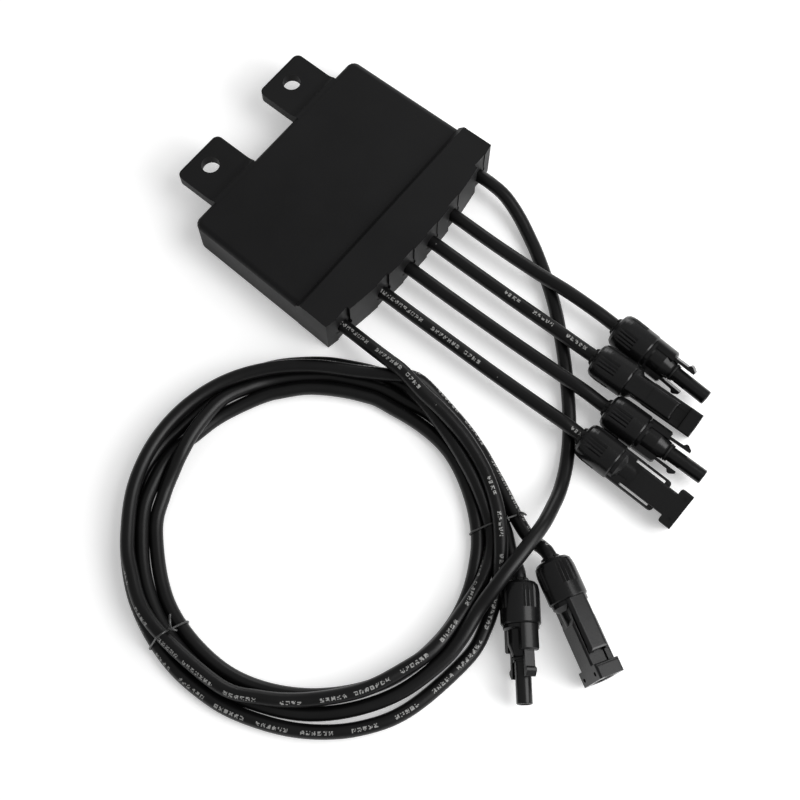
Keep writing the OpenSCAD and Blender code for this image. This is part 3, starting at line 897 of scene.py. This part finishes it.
@dataclass(frozen=True)
class WireTie:
    """A coated wire round the wound leads, twisted shut, with two loose ends.

    Attributes:
        name: The drawn tie's name.
        replaced: The CAD node that it stands for.
        hour: Where on the coil's clock face it sits.
        knot_radius: The distance from the coil's centre at which it is twisted.
        tips: Each loose end's way from the top of the twist: outward, across and up.
        pivot: The distance from the coil's centre at which its plane turns.
        lean: That turn, in degrees.
        under: Whether the first lead's first pass lies over it.
        wire_r: The wire's radius.
        sides: Faces round the wire.
        wire_step: Distance between the rings of a loose end.
        ring: How far inside and outside the pivot the strands that it holds can lie.
        arc_points: Points round one strand, for the hull that the loop follows.
        loop_points: Points round the loop.
        twist_r: The twist's radius.
        twist_points: Points along one wire of the twist.
        twist_round: Points in one turn of the twist.
        twist_rise: Height from one point to the next.
        arch: How high a loose end arches at shares of its way.
    """

    name: str
    replaced: str
    hour: float
    knot_radius: float
    tips: tuple[Point, ...]
    pivot: float = 90.0
    lean: float = 0.0
    under: bool = False
    wire_r: float = 0.5
    sides: int = 10
    wire_step: float = 0.7
    ring: Pair = (25.0, 18.0)
    arc_points: int = 36
    loop_points: int = 90
    twist_r: float = 0.55
    twist_points: int = 19
    twist_round: int = 12
    twist_rise: float = 0.17
    arch: tuple[Pair, ...] = ((0.35, 1.2), (0.75, 0.9))

    def directions(self) -> tuple[np.ndarray, np.ndarray]:
        """Finds the two directions of the tie's plane.

        Returns:
            The direction outward along the plane, and the one across it.
        """
        turn = math.radians(CLOCK_ZERO - DEGREES_PER_HOUR * self.hour + self.lean)
        outward = np.array([math.cos(turn), math.sin(turn), 0.0])
        return outward, np.array([-outward[1], outward[0], 0.0])

    def origin(self) -> np.ndarray:
        """Gives the point of the tie's plane from which radii count."""
        pivot = np.array(clock_point(self.hour, self.pivot, 0.0))
        return pivot - self.pivot * self.directions()[0]

    def crossings(self, cable: Cable) -> list[Pair]:
        """Finds where a wound lead passes the tie's plane.

        Args:
            cable: The lead.

        Returns:
            Radius and height of each pass, in the lead's own order.
        """
        outward, across = self.directions()
        line = smooth_line(cable.points, RING_STEP)
        off = (line - self.origin()) @ across
        out = (line - self.origin()) @ outward
        found = []
        for i in np.flatnonzero(off[:-1] * off[1:] <= 0):
            share = off[i] / (off[i] - off[i + 1])
            radius = out[i] + share * (out[i + 1] - out[i])
            if self.pivot - self.ring[0] < radius < self.pivot + self.ring[1]:
                found.append((float(radius), float(line[i, 2] + share * (line[i + 1, 2] - line[i, 2]))))
        return found

    def loop(self, held: list[Pair], over: list[Pair]) -> np.ndarray:
        """Draws the taut loop round the held strands and below those that lie over it.

        Args:
            held: Radius and height of the strands inside.
            over: The same of the strands above.

        Returns:
            Radius and height along the closed loop, starting at the knot.
        """
        reach = CABLE_R + self.wire_r
        angles = np.linspace(0, 2 * math.pi, self.arc_points, endpoint=False)
        arcs = [Vector((r + reach * math.cos(a), z + reach * math.sin(a))) for r, z in held for a in angles]
        hull = np.array([arcs[i] for i in convex_hull_2d(arcs)])
        line = walk(np.vstack([hull, hull[:1]]), self.loop_points)[:-1]
        for r, z in over:
            gap = line - (r, z)
            dist = np.linalg.norm(gap, axis=1)
            inside = dist < reach
            line[inside] = (r, z) + gap[inside] * (reach / dist[inside])[:, None]
        line[:, 1] = np.maximum(line[:, 1], self.wire_r)
        upper = line[:, 1] > np.mean(line[:, 1])
        first = int(np.argmin(np.where(upper, np.abs(line[:, 0] - self.knot_radius), np.inf)))
        line = np.roll(line, -first, axis=0)
        return np.vstack([line, line[:1]])

    def end(self, knot: np.ndarray, tip: Point, phase: float) -> np.ndarray:
        """Draws one of the twisted wires and its loose end.

        Args:
            knot: Where the twist starts.
            tip: The loose end's way from the top of the twist: outward, across and up.
            phase: Where round the twist the wire starts, in radians.

        Returns:
            The wire's centreline.
        """
        outward, across = self.directions()
        twist = []
        for k in range(self.twist_points):
            angle = phase + 2 * math.pi * k / self.twist_round
            aside = math.cos(angle) * outward + math.sin(angle) * across
            twist.append(knot + self.twist_r * aside + (0, 0, self.twist_rise * k))
        top = twist[-1]
        way = tip[0] * outward + tip[1] * across + np.array([0.0, 0.0, tip[2]])
        loose = [top + share * way + (0, 0, height) for share, height in self.arch]
        return smooth_line(np.array(twist + loose + [top + way]), self.wire_step)

    def build(self, cables: list[Cable], coating: bpy.types.Material) -> None:
        """Makes the loop, the twist and the loose ends.

        Args:
            cables: The two wound leads, the one that arrives over the coil first.
            coating: The wire's material.
        """
        passes = [self.crossings(cable) for cable in cables]
        over = passes[0][:1] if self.under else []
        held = passes[0][len(over):] + passes[1]
        loop = self.loop(held, over)
        outward, across = self.directions()
        line = self.origin() + loop[:, :1] * outward + loop[:, 1:] * np.array([0.0, 0.0, 1.0])
        mesh = bmesh.new()
        unmapped = np.zeros(len(line))
        add_tube(mesh, line, self.wire_r, self.sides, unmapped, unmapped, tuple(across))
        for tip, phase in zip(self.tips, (0.0, math.pi)):
            end = self.end(line[0], tip, phase)
            unmapped = np.zeros(len(end))
            add_tube(mesh, end, self.wire_r, self.sides, unmapped, unmapped)
        tie = finished(self.name, mesh)
        tie.data.materials.append(coating)
        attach(tie, ROOT)
        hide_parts(self.replaced)
        log.info("%s drawn round %d strands", self.name, len(held))


@dataclass
class Harness:
    """The four short leads and the two long ones that are wound into the coil.

    Attributes:
        exits: Where the six cables leave the housing's front, from the left.
        cables: The cables, the two long ones last.
        ties: The two wire ties round the coil.
    """

    exits: tuple[Pair, ...] = ((-55.8, -56.4), (-28.8, -61.6), (-9.6, -62.2),
                               (9.6, -62.2), (28.8, -61.6), (55.8, -56.4))
    cables: list[Cable] = field(default_factory=list)
    ties: tuple[WireTie, ...] = (
        WireTie("tie_left_wire", "coil_tie_left", 7.78, 79.8, ((-3.0, -5.0, 0.6), (-2.5, 3.2, 0.4))),
        WireTie("tie_right_wire", "coil_tie_right", 2.9, 101.0, ((1.2, 2.6, 0.6), (2.2, -2.2, 0.5)),
                lean=17.0, under=True))

    def plan(self) -> None:
        """Sets every cable's exit, knots and connector."""
        far_left, left, mid_left, mid_right, right, far_right = self.exits
        self.cables = [
            Cable("input_lead_1_jacket", ("input_lead_1",), left,
                  [(-28.6, -90, 11), (-28, -130, 10.6), (-27.2, -160, 10.8), (-26.7, -176, 11)], SOCKETS[1],
                  print_turns=((0, 75),), print_start=312.0),
            Cable("input_lead_2_jacket", ("input_lead_2",), mid_left,
                  [(-9.4, -90, 11), (-8.6, -125, 10.8), (-7.6, -155, 11), (-6.9, -172, 11)], PLUGS[1]),
            Cable("input_lead_3_jacket", ("input_lead_3",), mid_right,
                  [(9.8, -90, 11), (10.2, -118, 10.8), (10.6, -140, 11), (10.7, -154, 11.2)], SOCKETS[0],
                  print_turns=((0, 85),), print_start=382.0),
            Cable("input_lead_4_jacket", ("input_lead_4",), right,
                  [(29, -90, 11), (30, -115, 10.9), (31.4, -134, 11), (31.9, -152, 10.6)], PLUGS[0]),
            self.left_lead(far_left),
            self.right_lead(far_right),
        ]

    def left_lead(self, place: Pair) -> Cable:
        """Routes the left output lead: over the coil, round it twice and out to its socket.

        Args:
            place: Its exit.

        Returns:
            The lead.
        """
        free = [(-55.8, -64, 11.2), (-56.6, -76, 13.2)]
        turns = on_clock([
            (0.78, 93.6, 15.6), (1.0, 90.4, 17.4), (1.28, 86.9, 17.8), (1.6, 86.6, 16.4),
            (1.95, 87.1, 13.8), (2.3, 87.7, 11.4), (2.66, 88.8, 10.5), (2.95, 90.3, 10.6),
            (3.3, 91.8, 10.6), (3.62, 93.4, 8.4), (3.95, 95.0, 5.0), (4.3, 95.6, 3.5), (5.0, 95.6, 3.5),
            (5.5, 95.0, 3.5), (6.0, 93.1, 3.5), (6.5, 91.1, 3.5), (7.0, 90.0, 3.5), (7.6, 89.2, 3.5),
            (8.3, 88.8, 3.5), (9.0, 89.0, 3.5), (9.6, 89.2, 3.5), (10.0, 87.9, 3.5),
            (10.35, 85.6, 3.5), (10.7, 85.8, 3.5), (11, 87.9, 3.5),
            (11.5, 89.4, 3.5), (12, 88.4, 3.5), (12.5, 87.6, 3.5), (12.9, 87.6, 4.4), (13.2, 85.8, 7.8),
            (13.5, 84.0, 9.8), (14.0, 83.2, 9.9), (14.6, 86.0, 7.6), (15, 87.4, 5.2), (15.3, 86.8, 6.4),
            (15.7, 84.2, 9.6), (16.4, 81.5, 10.3), (16.9, 79.6, 10.4), (17.4, 79.4, 10.2), (18, 79.6, 9.9),
            (18.5, 81.4, 10.2), (19, 83.4, 10.4), (20, 85.8, 10.2), (20.6, 86.9, 10.4), (21, 87.5, 10.5),
            (21.5, 88.8, 10.5), (22, 89.5, 10.4), (22.5, 89.4, 10.4), (23, 88.4, 10.5), (23.5, 86.3, 10.8),
            (24, 84.6, 10.9), (24.5, 84.4, 10.4), (24.8, 86.6, 10.4), (25.1, 90.0, 9.8), (25.4, 91.4, 6.4),
            (25.8, 91.8, 3.7), (26.1, 92.2, 3.5), (26.3, 92.6, 3.6)])
        tail = [(-71, -167.8, 3.6), (-75.2, -177, 3.8), (-79.6, -187, 5), (-83.2, -196.5, 7.6)]
        return Cable("output_lead_left_jacket", ("output_lead_left", "output_tail_socket", "cable_coil"),
                     place, free + turns + tail, SOCKETS[2], "coiled", print_start=319.0,
                     print_turns=((0, 82), (149, 90), (298, 108), (360, 125), (410, 175), (581, 250),
                                  (700, 320), (735, 380), (755, 450), (849, 478), (913, 490), (981, 522),
                                  (1050, 545), (1118, 515), (1165, 500), (1300, 490)))

    def right_lead(self, place: Pair) -> Cable:
        """Routes the right output lead: under the short leads, round the coil and out to its plug.

        Args:
            place: Its exit.

        Returns:
            The lead.
        """
        free = [(56, -63, 11.2), (55.6, -74, 10), (52.4, -86, 7), (47, -98, 4.4), (40, -110, 3.6),
                (26, -129.5, 3.5), (9, -148, 3.5), (-8, -164, 3.5), (-24.5, -177.5, 3.5), (-40, -187.3, 3.8),
                (-54, -193.4, 6.5), (-66, -196.4, 11.5), (-76, -198.2, 15.6), (-87, -198.8, 18.2),
                (-97, -199, 19), (-107, -198.9, 18.8), (-117, -199, 16.9)]
        turns = on_clock([
            (3.88, 88.4, 13.4), (4.2, 88.2, 11.4), (4.5, 88.0, 9.4), (5.0, 87.2, 6.4), (5.5, 86.0, 4.4),
            (6.0, 85.2, 3.5), (6.5, 84.0, 3.5), (7.0, 83.2, 3.5), (7.8, 81.7, 5.0), (8.5, 81.4, 5.6),
            (9.2, 81.5, 5.6), (9.6, 81.3, 5.0), (10.0, 80.9, 3.5), (10.35, 77.6, 3.5), (10.75, 76.4, 3.5),
            (11.3, 75.6, 4.2), (11.6, 75.2, 4.8), (12, 75.6, 4.8), (12.6, 76.8, 4.2), (13, 77.9, 3.5),
            (14, 80.2, 3.5), (15, 82.2, 3.5), (16, 81.2, 3.5),
            (17, 79.3, 3.5), (18, 76.9, 3.5), (19, 76.6, 3.5), (20.0, 75.7, 3.5), (21.0, 75.6, 3.5),
            (21.5, 75.4, 4.0), (21.8, 75.0, 6.6), (22.05, 75.2, 9.8), (22.4, 77.4, 10.5), (22.85, 81.4, 8.8),
            (23.2, 81.8, 6.2), (23.45, 81.9, 4.0), (23.7, 82.0, 3.5), (24.0, 82.2, 3.5), (24.3, 82.9, 3.5),
            (25, 84.8, 3.5), (25.6, 86.2, 3.5), (26.2, 87.4, 3.5), (26.8, 91.0, 3.5)])
        tail = [(-87.6, -185.4, 3.8), (-91.5, -190.2, 4.6), (-96, -196, 6.6)]
        return Cable("output_lead_right_jacket", ("output_lead_right", "output_tail_plug"), place,
                     free + turns + tail, PLUGS[2], "coiled")

    def build(self, jacket: bpy.types.Material, coating: bpy.types.Material) -> None:
        """Lays all the cables and ties the wound ones.

        Args:
            jacket: The jacket's material.
            coating: The material of the wire ties.
        """
        self.plan()
        for cable in self.cables:
            cable.route()
        Settling().settle(self.cables)
        for cable in self.cables:
            cable.build(jacket)
        for tie in self.ties:
            tie.build(self.cables[-2:], coating)
        log.info("closest the axes of two cables come: %.2f mm", least_gap(self.cables))


@dataclass
class Unit:
    """The housing and what is potted inside it.

    Attributes:
        switches: How many switching transistors there are.
        bypasses: How many bypass diodes there are, and filter capacitors.
        inner: The finish of each piece that there is one of.
    """

    switches: int = 4
    bypasses: int = 2
    inner: dict[str, Finish] = field(default_factory=lambda: {
        "potting": Finish.RESIN, "circuit_board": Finish.BOARD, "heat_spreader": Finish.SPREADER,
        "controller_chip": Finish.PACKAGE, "transformer_core": Finish.FERRITE,
        "transformer_winding": Finish.COPPER, "cable_lugs": Finish.COPPER, "cable_bushes": Finish.SEAL})

    def dress(self, finishes: dict[Finish, bpy.types.Material]) -> None:
        """Gives the housing and each inner piece its finish.

        Args:
            finishes: The built materials.
        """
        node_material("housing", finishes[Finish.HOUSING])
        for name, finish in self.inner.items():
            node_material(name, finishes[finish])
        for number in range(1, self.switches + 1):
            node_material(f"switch_{number}", finishes[Finish.PACKAGE])
        for number in range(1, self.bypasses + 1):
            node_material(f"bypass_diode_{number}", finishes[Finish.PACKAGE])
            node_material(f"filter_capacitor_{number}", finishes[Finish.CAPACITOR])
        log.info("housing and circuit dressed")


def main() -> None:
    """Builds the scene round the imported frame."""
    logging.basicConfig(level=logging.INFO)
    Viewpoint().build()
    Studio().build()
    finishes = {finish: finish.value.material() for finish in Finish}
    Harness().build(Jacket("cable_jacket").material(), finishes[Finish.TIE])
    Unit().dress(finishes)
    for connector in PLUGS + SOCKETS:
        connector.dress(finishes)


if __name__ == "__main__":
    main()
